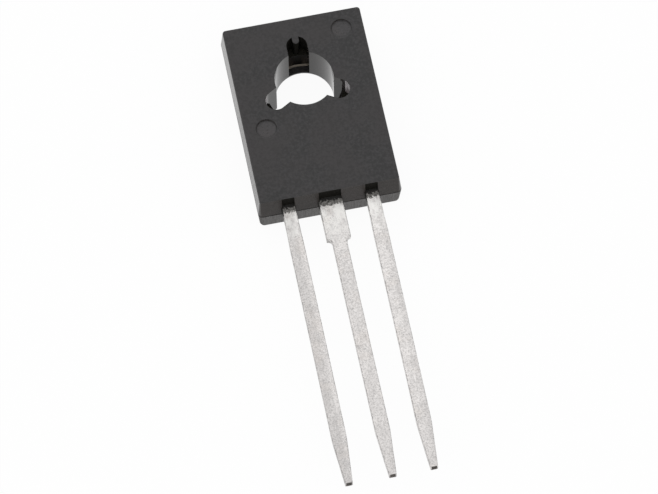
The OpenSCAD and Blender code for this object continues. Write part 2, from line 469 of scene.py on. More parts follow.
def finished_piece(bm, name, materials, slot, *nodes):
    """Piece in metres, shaded smooth between its edges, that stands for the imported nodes."""
    bmesh.ops.scale(bm, vec=(MM,) * 3, verts=bm.verts)
    mesh = bpy.data.meshes.new(name)
    bm.to_mesh(mesh)
    bm.free()
    for material in materials:
        mesh.materials.append(material)
    mesh.shade_smooth()
    shade_evenly(mesh)
    piece = bpy.data.objects.new(name, mesh)
    bpy.context.scene.collection.objects.link(piece)
    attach(piece, "root")
    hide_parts(*nodes)


# ---------------------------------------------------------------- material helpers


class Finish:
    """One procedural material, built up node by node from the object's own coordinates."""

    def __init__(self, name):
        self.material = bpy.data.materials.new(name)
        self.material.use_nodes = True
        self.tree = self.material.node_tree
        self.surface = self.tree.nodes["Principled BSDF"]
        self.coordinates = self.tree.nodes.new("ShaderNodeTexCoord").outputs

    def node(self, kind, **settings):
        made = self.tree.nodes.new(kind)
        for setting, value in settings.items():
            setattr(made, setting, value)
        return made

    def feed(self, socket, value):
        """Links a socket or sets a plain value."""
        if isinstance(value, bpy.types.NodeSocket):
            self.tree.links.new(value, socket)
        else:
            socket.default_value = value

    def speckle(self, size, detail=3.0, roughness=0.55, stretch=(1, 1, 1), distortion=0.0):
        """Noise from 0 to 1 whose lumps measure about size, in metres."""
        place = self.node("ShaderNodeMapping")
        place.inputs["Scale"].default_value = stretch
        self.feed(place.inputs["Vector"], self.coordinates["Object"])
        made = self.node("ShaderNodeTexNoise")
        for socket, value in (("Scale", 1 / size), ("Detail", detail), ("Roughness", roughness),
                              ("Distortion", distortion), ("Vector", place.outputs["Vector"])):
            self.feed(made.inputs[socket], value)
        return made.outputs["Fac"]

    def span(self, value, low, high, to_low=0.0, to_high=1.0):
        """Maps low..high of a value to to_low..to_high, with soft ends and held past them."""
        made = self.node("ShaderNodeMapRange", interpolation_type="SMOOTHSTEP")
        for socket, number in (("Value", value), ("From Min", low), ("From Max", high),
                               ("To Min", to_low), ("To Max", to_high)):
            self.feed(made.inputs[socket], number)
        return made.outputs["Result"]

    def maths(self, operation, first, second):
        made = self.node("ShaderNodeMath", operation=operation)
        self.feed(made.inputs[0], first)
        self.feed(made.inputs[1], second)
        return made.outputs["Value"]

    def add(self, first, *others):
        for other in others:
            first = self.maths("ADD", first, other)
        return first

    def multiply(self, first, second):
        return self.maths("MULTIPLY", first, second)

    def mix(self, share, first, second):
        """Mixes two colours by share."""
        made = self.node("ShaderNodeMix", data_type="RGBA")
        self.feed(made.inputs["Factor"], share)
        self.feed(made.inputs["A"], tuple(first) + (1,) if isinstance(first, tuple) else first)
        self.feed(made.inputs["B"], tuple(second) + (1,) if isinstance(second, tuple) else second)
        return made.outputs["Result"]

    def axis(self, name, of="Object"):
        """One coordinate of the place on the part, in metres."""
        made = self.node("ShaderNodeSeparateXYZ")
        self.feed(made.inputs["Vector"], self.coordinates[of])
        return made.outputs[name]

    def facing(self, name):
        """How far a face looks along one axis, either way, from 0 to 1."""
        return self.maths("ABSOLUTE", self.axis(name, of="Normal"), 0.0)

    def relief(self, height, depth, below=None):
        """Bump of a height from 0 to 1 that is depth deep, in metres."""
        made = self.node("ShaderNodeBump")
        made.inputs["Strength"].default_value = 1.0
        made.inputs["Distance"].default_value = depth
        self.feed(made.inputs["Height"], height)
        if below is not None:
            self.feed(made.inputs["Normal"], below)
        return made.outputs["Normal"]

    def finished(self, **sockets):
        """The material, once the named sockets of its surface are fed."""
        for name, value in sockets.items():
            self.feed(self.surface.inputs[name.replace("_", " ")], value)
        return self.material


def shade(colour, level):
    """A colour made lighter or darker."""
    return tuple(min(1.0, channel * level) for channel in colour)


def compound_finish(name, level, upright, lightness=1.0, mottle=0.5, pitting=0.08, sheen=0.5,
                    bounce_warmth=0.5):
    """Black epoxy compound as one part of the mould left it.

    level and upright are the roughnesses of faces that lie level and that stand upright.
    """
    look = Finish(name)
    colour = shade(tuple(finishes().compound), lightness)
    grain = finishes().compound_grain
    fine = look.speckle(grain, detail=2.0)
    clouds = look.speckle(grain * 3, detail=3.0, roughness=0.65)
    drift = look.speckle(grain * 40, detail=2.0)
    facing = look.facing("Z")

    patches = look.add(look.multiply(clouds, 0.8), look.multiply(drift, 0.2))
    mottled = look.mix(look.span(patches, 0.38, 0.62), shade(colour, 1 - mottle),
                       shade(colour, 1 + mottle))
    reddish = look.mix(0.5, mottled, (colour[0] * 1.14, colour[1], colour[2] * 0.96))
    tint = look.mix(look.span(drift, 0.35, 0.65), mottled, reddish)
    # Upright faces are tinted warm: a painted warm reflection of the floor
    warm = look.mix(bounce_warmth, tint, (colour[0] * 1.4, colour[1] * 1.1, colour[2] * 0.8))
    tint = look.mix(look.span(facing, *LEVEL_TO_UPRIGHT), tint, warm)

    # Upright walls are dragged smooth as the part leaves the mould, less so towards the leads
    matt = look.span(clouds, 0.3, 0.7, level, level + 0.1)
    drag = look.speckle(grain * 1.4, detail=3.0, stretch=(1, 1, 0.06))
    worn = look.span(look.axis("Y"), -3 * MM, 2 * MM, upright, 0.0)
    polished = look.add(look.multiply(worn, look.facing("X")),
                        look.span(drag, 0.3, 0.7, upright, upright * 1.5 + 0.04))
    rough = look.span(facing, *LEVEL_TO_UPRIGHT, matt, polished)

    normal = look.relief(clouds, grain * pitting, look.relief(fine, grain * pitting * 0.5))
    return look.finished(Base_Color=tint, Roughness=rough, Normal=normal, IOR=1.5,
                         Specular_IOR_Level=sheen)


def recess_shade_finish(name, lightness=1.0):
    """Rough dark surface in the slots round the leads, at the far end of the top notch and on the
    pad's top in the notches: its very dark colour is painted shade in these recesses.
    """
    look = Finish(name)
    colour = shade(tuple(finishes().recess_shade), lightness)
    lumps = look.speckle(0.06 * MM, detail=4.0)
    base = look.mix(look.span(lumps, 0.35, 0.65), shade(colour, 0.7), shade(colour, 1.5))
    return look.finished(Base_Color=base, Roughness=look.span(lumps, 0.3, 0.7, 0.75, 0.95),
                         Normal=look.relief(lumps, 0.012 * MM), Specular_IOR_Level=0.08)


def tin_finish(name):
    """Matt dipped tin, with resin bled over it next to the body and painted shade where it runs into
    its slot and along its sides.
    """
    look = Finish(name)
    grain = finishes().tin_grain
    frost = look.speckle(grain * 0.75, detail=3.0, roughness=0.65)
    clouds = look.speckle(grain * 2.2, detail=3.0, stretch=(1, 0.6, 1))
    tint = worn_tin(look, frosted_tin(look, frost, clouds))
    film, resin = resin_film(look)
    matt = look.span(frost, 0.3, 0.7, 0.4, 0.58)
    normal = look.relief(clouds, grain * 0.12, look.relief(frost, grain * 0.06))
    return look.finished(Base_Color=look.mix(film, tint, resin), Normal=normal,
                         Metallic=look.maths("SUBTRACT", 1.0, film),
                         Roughness=look.span(film, 0.0, 1.0, matt, 0.75))


def frosted_tin(look, frost, clouds):
    """Pale clouded tin, brightest beside the body."""
    colour = tuple(finishes().tin)
    base = look.mix(look.span(clouds, 0.35, 0.65), shade(colour, 0.94), shade(colour, 1.07))
    base = look.mix(look.span(frost, 0.3, 0.6), shade(colour, 0.66), base)
    by_body = look.span(look.axis("Y"), BODY_LOW.y - 2.6 * MM, BODY_LOW.y - 0.6 * MM)
    bright = (colour[0] * 1.115, colour[1] * 1.135, colour[2] * 1.125)
    return look.mix(look.multiply(by_body, look.span(clouds, 0.3, 0.6)), base, bright)


def worn_tin(look, base):
    """Warm patches, fine dark veins, painted shade across the leads and in patches on their rounded
    edges, and darker tips, on tin of a base tint.
    """
    colour = tuple(finishes().tin)
    grain, pitch = finishes().tin_grain, metal_sizes().pitch
    drift = look.speckle(grain * 9, detail=2.0)
    warm = (colour[0] * 0.98, colour[1] * 0.95, colour[2] * 0.92)
    tint = look.mix(look.span(drift, 0.52, 0.68, 0, 0.35), base, warm)

    # Darker: painted shade where light falls unevenly across the leads, on the outer halves of the two
    # outer leads and on all leads but the base lead; the tips are darker too
    across, along = look.axis("X"), look.axis("Y")
    tip = EMITTER_LOW.y
    darkening = look.add(look.span(across, 0.2 * MM - pitch, -pitch, 0.0, 0.1),
                      look.span(across, pitch - 0.1 * MM, pitch + 0.2 * MM, 0.0, 0.08),
                      look.span(across, 0.7 * pitch, 0.4 * pitch, 0.0, 0.05),
                      look.span(along, tip + 4.4 * MM, tip + 0.9 * MM, 0.0, 0.06))
    tint = look.mix(darkening, tint, (0.0, 0.0, 0.0))

    swirl = look.add(look.speckle(grain * 1.5, detail=2.0, distortion=0.6), -0.5)
    vein = look.span(look.maths("ABSOLUTE", swirl, 0.0), 0.035, 0.008)
    worn = look.multiply(vein, look.span(drift, 0.38, 0.58, 0.0, 0.42))
    tint = look.mix(worn, tint, shade(colour, 0.35))
    # Faces turned sideways, the rounded edges and sides of a lead, are darkened in patches: painted
    # shade
    edge_shade_patches = look.span(look.speckle(grain * 1.2, detail=3.0, roughness=0.7), 0.36, 0.56, 0.7, 0.0)
    on_edge = look.span(look.facing("Z"), 0.97, 0.7)
    return look.mix(look.multiply(on_edge, edge_shade_patches), tint, shade(colour, 0.22))


def resin_film(look):
    """Share of the resin that bled out over a lead, up to a ragged edge, and its colour, which turns
    to the slots' painted shade deep in the slot and on the lead's sides.
    """
    edge, wall = BODY_LOW.y - metal_sizes().film_length, slot_wall() * MM
    lump, swing = 0.12 * MM, 0.7 * MM
    ragged = look.add(look.speckle(lump, detail=4.0, roughness=0.8), -0.5)
    wavy = look.add(look.axis("Y"), look.multiply(ragged, swing),
                    look.span(look.facing("X"), 0.5, 0.8, 0.0, lump))
    film = look.span(wavy, edge - 0.01 * MM, edge + 0.04 * MM)
    film = look.multiply(film, look.span(look.axis("Z"), 0.2 * MM, 0.6 * MM))
    resin = tuple(finishes().resin_film)
    patchy = look.mix(look.span(ragged, -0.15, 0.15), shade(resin, 2.1), shade(resin, 0.45))
    # Deep in the slot and on the lead's sides by the body, the film takes the slots' painted shade
    # colour
    deep = look.maths("MAXIMUM", look.span(wavy, wall - 0.28 * MM, wall - 0.17 * MM),
                      look.span(look.facing("X"), 0.5, 0.8))
    return film, look.mix(deep, patchy, tuple(finishes().recess_shade))


def burnished_finish(burr_top):
    """Dark sheared wall of the pad's hole, with painted shade darkest in its middle and near its top,
    and a burnished burr up to burr_top.
    """
    look = Finish("pad_hole_wall")
    colour = tuple(finishes().copper)
    lines = look.speckle(0.08 * MM, detail=3.0, stretch=(1, 1, 0.1))
    lined = look.span(lines, 0.4, 0.62)
    # Painted shade: the wall is darkest in its middle, where the tooth shades it, and near its top; it
    # lightens to the sides and towards its foot
    tooth_shade = look.mix(lined, shade(colour, 0.04), shade(colour, 0.3))
    bare = look.mix(lined, shade(colour, 0.7), shade(colour, 1.6))
    from_middle = look.maths("ABSOLUTE", look.axis("X"), 0.0)
    aside = look.span(from_middle, 0.15 * MM, 0.45 * MM)
    foot = look.span(look.axis("Z"), 1.1 * MM, 0.4 * MM, 0.15, 1.0)
    wall = look.mix(look.multiply(aside, foot), tooth_shade, bare)
    burr = look.span(look.axis("Z"), burr_top + 0.02 * MM, burr_top)
    return look.finished(Base_Color=look.mix(burr, wall, tuple(finishes().burnished_copper)),
                         Roughness=look.span(lines, 0.3, 0.7, 0.5, 0.7),
                         Normal=look.relief(lines, 0.003 * MM), Specular_IOR_Level=0.06)


def copper_finish():
    """Bare copper edge left by the shear, dulled brown, with fine shear lines through the metal."""
    look = Finish("sheared_copper")
    colour = tuple(finishes().copper)
    lines = look.speckle(0.05 * MM, detail=3.0, stretch=(1, 1, 0.12))
    stain = look.speckle(0.25 * MM, detail=3.0)
    base = look.mix(look.span(lines, 0.35, 0.65), shade(colour, 0.7), shade(colour, 1.3))
    base = look.mix(look.span(stain, 0.4, 0.7, 0, 0.5), base, shade(colour, 0.5))
    return look.finished(Base_Color=base, Roughness=look.span(stain, 0.3, 0.7, 0.45, 0.65),
                         Normal=look.relief(lines, 0.004 * MM), Metallic=0.85)


def hidden_finish(name, colour, grain, metallic, roughness):
    """Finish of a piece inside the body."""
    look = Finish(name)
    lumps = look.speckle(grain, detail=3.0)
    base = look.mix(look.span(lumps, 0.35, 0.65), shade(colour, 0.88), shade(colour, 1.08))
    return look.finished(Base_Color=base, Metallic=metallic,
                         Roughness=look.span(lumps, 0.3, 0.7, roughness, roughness + 0.12),
                         Normal=look.relief(lumps, grain * 0.06))


# ---------------------------------------------------------------- moulded body

# Finishes of the body, in the order of its materials
(COMPOUND, RECESS_SHADE, PIN_POLISHED, EJECTOR_FACE, BLASTED_END, NOTCH_END_HIGHLIGHT, LIT_NOTCH_WEB,
 NOTCH_CORNER_SHADE, NOTCH_SIDE) = range(9)

# Sideways part of the normal past which a wall of the two lower notches gets a painted highlight,
# painted shade or, on its flat side, less sheen
LEFT_END_HIGHLIT = 0.77
RIGHT_END_HIGHLIT = -0.7
RIGHT_END_SHADED = -0.52
RIGHT_SIDE_DULL = -0.4


def parting_height():
    """Height of the parting line: the leads come out on it."""
    return EMITTER_LOW.z


def slot_wall():
    """Y of the back wall of the lead slots, level with the front face's edge."""
    front = mm(BODY_HIGH.z - parting_height())
    return mm(BODY_LOW.y) + front * math.tan(body_sizes().lead_end_draft)


def edge_rounding(inset, height, radius, start, end):
    """(inset, height) points that round an edge of the block, about a centre."""
    segments = 6
    return [(inset - x, z) for x, z in arc((0, height), radius, start, end, segments)]


def side_profile(front_draft, back_draft):
    """(inset, height) up one drafted side, from the back face to the front face."""
    sizes = body_sizes()
    parting, top = mm(parting_height()), mm(BODY_HIGH.z)
    front_r, back_r = mm(sizes.front_edge), mm(sizes.back_edge)
    groove = mm(sizes.parting_groove)
    back_centre = (parting - back_r) * math.tan(back_draft) + back_r / math.cos(back_draft)
    front_centre = ((top - front_r - parting) * math.tan(front_draft)
                    + front_r / math.cos(front_draft))
    profile = edge_rounding(back_centre, back_r, back_r, -QUARTER, -back_draft)
    profile.append((0.0, parting))
    # The groove's floor and the slope out of it, in depths of the groove
    for depth, height in ((1.0, 0.2), (1.0, 1.3), (0.1, 1.9)):
        profile.append((groove * (depth + height * math.tan(front_draft)),
                        parting + groove * height))
    return profile + edge_rounding(front_centre, top - front_r, front_r, front_draft, QUARTER)


def block_rings():
    """Rings up the drafted block; each corner blends the two sides that it joins."""
    sizes = body_sizes()
    low, high = BODY_LOW / MM, BODY_HIGH / MM
    # A corner's radius shrinks by this share of the inset, down to the least radius
    shrink, least, segments = 0.7, 0.05, 10
    side = side_profile(sizes.side_draft, sizes.back_draft)
    hole_end = side_profile(sizes.hole_end_draft, sizes.back_draft)
    lead_end = side_profile(sizes.lead_end_draft, sizes.back_draft)
    rings = []
    for (side_in, side_z), (hole_in, hole_z), (lead_in, lead_z) in zip(side, hole_end, lead_end):
        ring = []
        for quarter in range(4):
            end_in, end_z = (hole_in, hole_z) if quarter < 2 else (lead_in, lead_z)
            radius = max(mm(sizes.corner_radius) - shrink * max(side_in, end_in), least)
            radius += mm(sizes.back_corner) * max(0.0, 1 - side_z / mm(parting_height()))
            right = quarter in (0, 3)
            x = high.x - side_in - radius if right else low.x + side_in + radius
            y = high.y - end_in - radius if quarter < 2 else low.y + end_in + radius
            start = quarter * QUARTER
            for px, py in arc((x, y), radius, start, start + QUARTER, segments):
                share = ((py - y) / radius) ** 2
                ring.append((px, py, side_z + (end_z - side_z) * share))
        rings.append(ring)
    return rings


def notch_outline(angle, with_tooth):
    """Clamp notch seen from the front, from inside the hole out to its round end."""
    sizes = body_sizes()
    segments, tooth_segments = 40, 16
    half = mm(sizes.notch_width) / 2
    reach = mm(sizes.notch_reach)
    start = mm(sizes.hole_radius) / 2
    centre = (reach - half, 0)
    if with_tooth:
        tooth = mm(sizes.tooth_width) / 2
        bite = math.asin(tooth / half)
        tooth_centre = (reach - mm(sizes.tooth_length) + tooth, 0)
        points = arc(centre, half, -QUARTER, -bite, segments // 2)
        points += arc(tooth_centre, tooth, -QUARTER, -3 * QUARTER, tooth_segments)
        points += arc(centre, half, bite, QUARTER, segments // 2)
    else:
        points = arc(centre, half, -QUARTER, QUARTER, segments)
    return turned([(start, -half)] + points + [(start, half)], angle)


def web_chip_cutter(degrees, chip, lean):
    """Uneven bite out of the thin web at the foot of a notch, deeper to one side by lean."""
    sizes = body_sizes()
    chance = random.Random(degrees)
    rough, steps = 0.015, 14
    inner, outer = mm(sizes.hole_radius) * 0.8, mm(sizes.hole_radius + chip)
    half = mm(sizes.notch_width) / 2 + HAIR
    points = [(inner, half), (inner, -half)]
    for i in range(steps + 1):
        across = 2 * i / steps - 1
        aside = math.asin(half / outer) * across
        radius = outer + mm(chip) * lean * across + chance.uniform(-rough, rough)
        points.append((radius * math.cos(aside), radius * math.sin(aside)))
    outline = turned(points, math.radians(degrees))
    return prism(outline, -OVER, mm(sizes.notch_floor) + 2 * HAIR)


def ejector_cutter(x, y):
    """Shallow round dish where an ejector pin pushed, its soft side towards the leads."""
    sizes = body_sizes()
    top, segments = mm(BODY_HIGH.z), 64
    radius, depth = mm(sizes.mark_radius), mm(sizes.mark_depth)
    # Shares of the radius, of the depth and of the radius that the ring moves up the body
    profile = ((1.1, -1.0, 0.0), (1.08, 0.0, 0.0), (1.05, 0.04, 0.0), (1.02, 0.14, 0.0),
               (1.0, 0.3, 0.0), (0.94, 0.8, 0.01), (0.9, 0.95, 0.02), (0.86, 1.0, 0.03))
    bm = bmesh.new()
    rings = []
    for share, drop, shift in profile:
        ring = []
        for px, py in circle((x, y + radius * shift), radius * share, segments):
            kept = 1 - sizes.mark_lean * (y + radius - py) / (2 * radius)
            ring.append((px, py, top - depth * drop * kept))
        rings.append(ring)
    loft(bm, rings)
    return scratch_object(bm, "cutter")


def slot_cutter(x, width):
    """Slot in the lead end, down onto a lead."""
    half = width / 2 - mm(body_sizes().slot_cover)
    wall = slot_wall()
    outside = mm(BODY_LOW.y) - OVER
    outline = [(x - half, outside), (x + half, outside), (x + half, wall), (x - half, wall)]
    return prism(outline, mm(EMITTER_LOW.z + EMITTER_HIGH.z) / 2, mm(BODY_HIGH.z) + OVER)


def body_cutters():
    """The hole, the notches, the marks, the slots and the places of the pieces inside."""
    sizes, metal = body_sizes(), metal_sizes()
    top = mm(BODY_HIGH.z) + OVER
    hole = circle((0, 0), mm(sizes.hole_radius), stage_settings().curve_segments)
    cutters = [prism(hole, -OVER, top)]
    for degrees in (90, 210, 330):
        outline = notch_outline(math.radians(degrees), with_tooth=degrees == 90)
        cutters.append(prism(outline, mm(sizes.notch_floor), top))
    for degrees, share, lean in ((210, 1.35, 0.0), (330, 0.85, 0.5)):
        cutters.append(web_chip_cutter(degrees, sizes.web_chip * share, lean))
    offset, pitch = mm(sizes.mark_offset), mm(metal.pitch)
    cutters += [ejector_cutter(side * offset, side * offset) for side in (-1, 1)]
    for side, width in ((-1, metal.lead_width), (0, metal.root_width), (1, metal.lead_width)):
        cutters.append(slot_cutter(side * pitch, mm(width)))
    return cutters + [solid_in_millimetres(node) for node in SOLID_NODES]


def round_rims(bm):
    """Rounds the rims of the hole, notches and slots by a touch."""
    sharp = math.radians(50)
    rims = []
    for edge in bm.edges:
        if len(edge.link_faces) != 2 or not edge.is_convex:
            continue
        middle = (edge.verts[0].co + edge.verts[1].co) / 2
        by_hole = middle.xy.length < mm(body_sizes().notch_reach) + NEAR
        by_slot = middle.y < slot_wall() + NEAR
        if (by_hole or by_slot) and edge.calc_face_angle() > sharp:
            rims.append(edge)
    soften(bm, rims, mm(body_sizes().rim_edge), 2)


def make_moulded_body():
    bm = bmesh.new()
    loft(bm, block_rings())
    block = scratch_object(bm, "block")
    combine(block, body_cutters(), "DIFFERENCE")
    bm = as_bmesh(block)
    round_rims(bm)
    for face in bm.faces:
        face.material_index = body_finish_of(face)
    finished_piece(bm, "moulded_body", (
        compound_finish("moulded_compound", level=0.36, upright=0.1),
        # Painted shade in the lead slots and at the far end of the top notch
        recess_shade_finish("recess_shade"),
        compound_finish("pin_polished_compound", level=0.3, upright=0.02, pitting=0.015,
                        sheen=0.36),
        compound_finish("ejector_face", level=0.26, upright=0.2, lightness=1.8, mottle=0.25,
                        pitting=0.04),
        compound_finish("blasted_lead_end", level=0.4, upright=0.25, sheen=0.27),
        # Painted highlight on the ends of the two lower notches
        compound_finish("notch_end_painted_highlight", level=0.36, upright=0.24, lightness=18.0, bounce_warmth=0.0),
        # Painted light on the web at the foot of the two lower notches
        compound_finish("notch_web_painted_light", level=0.36, upright=0.1, lightness=12.0),
        # Painted shade in the end corner of the right notch
        compound_finish("notch_corner_painted_shade", level=0.5, upright=0.5, lightness=2.5, sheen=0.12,
                        bounce_warmth=0.0),
        compound_finish("notch_side", level=0.3, upright=0.02, pitting=0.015, sheen=0.22),
    ), "epoxy", "body")


def body_finish_of(face):
    """Which finish a face of the body has."""
    sizes = body_sizes()
    middle, normal = face.calc_center_median(), face.normal
    if abs(normal.z) < UPRIGHT:
        if middle.y < slot_wall() + NEAR:
            return lead_end_finish_of(middle, normal)
        if middle.xy.length < mm(sizes.notch_reach) + NEAR:
            return hole_finish_of(middle, normal)
        return COMPOUND
    over_web = middle.z < mm(sizes.notch_floor) + NEAR and middle.y < 0
    # The web at the foot of the two lower notches is lightened: painted light in their shade
    if over_web and normal.z > SQUARE_ON:
        return LIT_NOTCH_WEB
    mark = Vector((1, 1)) * mm(sizes.mark_offset)
    from_mark = min((middle.xy - mark).length, (middle.xy + mark).length)
    sunk = (mm(BODY_HIGH.z) - middle.z) / mm(sizes.mark_depth)
    in_mark = from_mark < mm(sizes.mark_radius) * 0.85 and 0.3 < sunk < 1.1
    return EJECTOR_FACE if in_mark else COMPOUND


def lead_end_finish_of(middle, normal):
    """Finish of an upright face at the lead end: painted shade in the slots, blasted where it looks
    out.
    """
    metal = metal_sizes()
    among_leads = abs(middle.x) < mm(metal.pitch + metal.lead_width)
    slot_side = abs(normal.x) > SQUARE_ON and among_leads
    slot_back = abs(normal.y) > SQUARE_ON and middle.y > slot_wall() - NEAR
    if slot_side or slot_back:
        return RECESS_SHADE
    # Behind the parting line the corners are blasted too
    least = 0.1 if middle.z < mm(parting_height()) else SQUARE_ON
    return BLASTED_END if -normal.y > least else COMPOUND


def hole_finish_of(middle, normal):
    """Finish of an upright face in the screw hole or in one of its notches."""
    reach, radius = mm(body_sizes().notch_reach), mm(body_sizes().hole_radius)
    from_axis = middle.xy.length
    in_top_notch = middle.y > reach * 0.75
    if in_top_notch:
        # The far end of the top notch is painted dark as shade
        return RECESS_SHADE if from_axis > radius * 1.2 else PIN_POLISHED
    at_end = from_axis > reach * 0.8
    # The ends of the two lower notches are lightened where they turn sideways: a painted highlight
    if at_end and (normal.x > LEFT_END_HIGHLIT or normal.x < RIGHT_END_HIGHLIT):
        return NOTCH_END_HIGHLIGHT
    # Next to that highlight, a rough, low-sheen corner with its own tone paints the shade of the right
    # notch's dark wedge
    if at_end and normal.x < RIGHT_END_SHADED:
        return NOTCH_CORNER_SHADE
    past_bore = from_axis > radius * 1.06
    return NOTCH_SIDE if past_bore and normal.x < RIGHT_SIDE_DULL else PIN_POLISHED


# ---------------------------------------------------------------- metal

# Finishes of the metal besides its tin, which comes first, in the order of the materials
COPPER, LEDGE_SHADE, HOLE_WALL = 1, 2, 3

# Edge radius of metal that is stamped but not dipped, in millimetres
STAMPED_EDGE = 0.03

# Piece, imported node, side, how far the tip strays sideways in millimetres, and seed
OUTER_LEADS = (("emitter_lead_tinned", "emitter_lead", -1, -0.03, 11),
               ("base_lead_tinned", "base_lead", 1, -0.055, 23))


def swept_strip(stations):
    """Flat strip along Y through stations (y, left, right, low, high, radius)."""
    segments, fullest = 4, 0.45
    bm = bmesh.new()
    rings = []
    for y, left, right, low, high, radius in stations:
        radius = min(radius, (right - left) * fullest, (high - low) * fullest)
        section = rounded_rectangle(left, low, right, high, radius, segments)
        rings.append([(x, y, z) for x, z in section])
    loft(bm, rings)
    bmesh.ops.recalc_face_normals(bm, faces=bm.faces)
    return bm


def tin_ripple(y, seed):
    """Size of the small waves in a dipped edge at y, in millimetres."""
    slow, quick = 0.9, 3.1
    wave = noise.noise(Vector((y * slow, seed, 0))) + noise.noise(Vector((y * quick, seed, 5))) / 2
    return abs(mm(metal_sizes().ripple) * wave)


def lead_half_width(y, neck):
    """Half width of a lead at y: neck beside the body, dipped shank, tapered end."""
    metal = metal_sizes()
    tip = mm(EMITTER_LOW.y)
    shank, end = mm(metal.lead_width) / 2, mm(metal.tip_width) / 2
    taper_start = tip + mm(metal.taper_length)
    if y < taper_start:
        return end + (shank - end) * (y - tip) / (taper_start - tip)
    # The neck widens into the shank over a millimetre, from here out
    neck_end = mm(BODY_LOW.y) - 1.2
    share = min(1.0, max(0.0, y - neck_end + 1.0))
    share = share * share * (3 - 2 * share)
    return shank + (neck - shank) * share


def lead_stations(x, start, bend, neck, seed, root=None):
    """Stations from start out to the tip.

    bend is how far the tip strays sideways. root gives the least half widths at a y.
    """
    spacing = 0.16
    out, tip = mm(BODY_LOW.y), mm(EMITTER_LOW.y)
    low, high = mm(EMITTER_LOW.z), mm(EMITTER_HIGH.z)
    count = int((start - tip) / spacing)
    stations = []
    for i in range(count + 1):
        y = start + (tip - start) * i / count
        away = min(1.0, max(0.0, (out - y) / (out - tip)))
        centre = x + bend * away ** 2
        half = lead_half_width(y, neck)
        # The ripple sets in over the first twelfth of the lead
        fade = min(1.0, away * 12)
        left = centre - half - fade * tin_ripple(y, seed)
        right = centre + half + fade * tin_ripple(y, seed + 3)
        if root:
            root_left, root_right = root(y)
            left, right = min(left, centre - root_left), max(right, centre + root_right)
        dent = fade * tin_ripple(y, seed + 7)
        stations.append((y, left, right, low + dent / 2, high - dent, mm(metal_sizes().lead_edge)))
    return stations


def cut_tip(bm, tip):
    """Sets the sheared end face inside a rim of smeared tin."""
    smear = 0.05
    ends = [face for face in bm.faces if abs(face.calc_center_median().y - tip) < WELD
            and abs(face.normal.y) > SQUARE_ON]
    bmesh.ops.inset_region(bm, faces=ends, thickness=smear, depth=0.0)
    for face in ends:
        face.material_index = COPPER


def make_outer_lead(name, node, side, bend, seed):
    """Outer lead and its bond post, one stamped piece."""
    metal = metal_sizes()
    low_box, high_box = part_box(node)
    left, right, low, high = mm(low_box.x), mm(high_box.x), mm(low_box.z), mm(high_box.z)
    post_top = mm(high_box.y)
    post_end = post_top - mm(metal.post_length)
    stations = [(y, left, right, low, high, STAMPED_EDGE) for y in (post_top, post_end)]
    stations += lead_stations(side * mm(metal.pitch), post_end - 10 * WELD, bend,
                              mm(metal.neck_width) / 2, seed)
    bm = swept_strip(stations)
    cut_tip(bm, mm(low_box.y))
    finished_piece(bm, name, (tin_finish("tin_" + name), copper_finish()), "tinned_lead", node)


def root_half(y, hollow):
    """Half width of the middle lead's wide root at y, with a hollow shoulder at its end."""
    metal = metal_sizes()
    wide, shank = mm(metal.root_width) / 2, mm(metal.lead_width) / 2
    reach = min(hollow, wide - shank)
    drop = mm(BODY_LOW.y - metal.root_length) - y
    if drop <= 0:
        return wide
    if drop >= reach:
        return 0.0
    return wide - math.sqrt(reach ** 2 - (reach - drop) ** 2)


def root_halves(y):
    """Half widths of that root to the left and to the right."""
    metal = metal_sizes()
    return root_half(y, mm(metal.left_shoulder)), root_half(y, mm(metal.right_shoulder))


def pad_block():
    """Collector pad with the lip that locks it in the plastic."""
    metal = metal_sizes()
    segments = 8
    lip, corner = mm(metal.lip_width), mm(metal.pad_corner)
    top, lip_low = mm(metal.pad_thickness), mm(metal.pad_thickness - metal.lip_thickness)
    left, right, end = mm(PAD_LOW.x), mm(PAD_HIGH.x), mm(PAD_HIGH.y)
    start = end - mm(metal.pad_length)
    outer = rounded_rectangle(left, start, right, end, corner, segments)
    inner = rounded_rectangle(left + lip, start + lip, right - lip, end - lip, corner, segments)
    bm = bmesh.new()
    loft(bm, [at_height(inner, 0.0), at_height(inner, lip_low),
              at_height(outer, lip_low), at_height(outer, top)])
    return scratch_object(bm, "pad")


def middle_lead():
    """Step up from the pad, wide root, its two shoulders and the lead, in one strip."""
    metal = metal_sizes()
    low, high = mm(EMITTER_LOW.z), mm(EMITTER_HIGH.z)
    shank, wide = mm(metal.lead_width) / 2, mm(metal.root_width) / 2
    overlap, gap, stray, seed = 0.2, 0.1, 0.02, 40
    step_low = mm(metal.pad_thickness - metal.lip_thickness) + HAIR
    step_high = mm(metal.pad_thickness) - HAIR
    step_start = mm(PAD_HIGH.y - metal.pad_length)
    step_end = step_start - mm(metal.step_length)
    inside_pad = step_start + mm(metal.lip_width) + overlap
    stations = [(inside_pad, -wide, wide, step_low, step_high, 2 * HAIR),
                (step_start, -wide, wide, step_low, step_high, 2 * HAIR),
                (step_end, -wide, wide, low, high, STAMPED_EDGE)]
    lead = lead_stations(0, step_end - gap, stray, shank, seed, root_halves)
    # The shoulders need stations closer together than the rest of the lead has
    end, length, count = mm(BODY_LOW.y - metal.root_length), 0.35, 24
    shoulders = []
    for i in range(count + 1):
        y = end + 2 * HAIR - length * i / count
        left, right = (max(half, shank) for half in root_halves(y))
        shoulders.append((y, -left, right, low, high, mm(metal.lead_edge)))
    stations += [station for station in lead if station[0] > end + gap]
    stations += shoulders
    stations += [station for station in lead if station[0] < end - length]
    return scratch_object(swept_strip(stations), "strip")


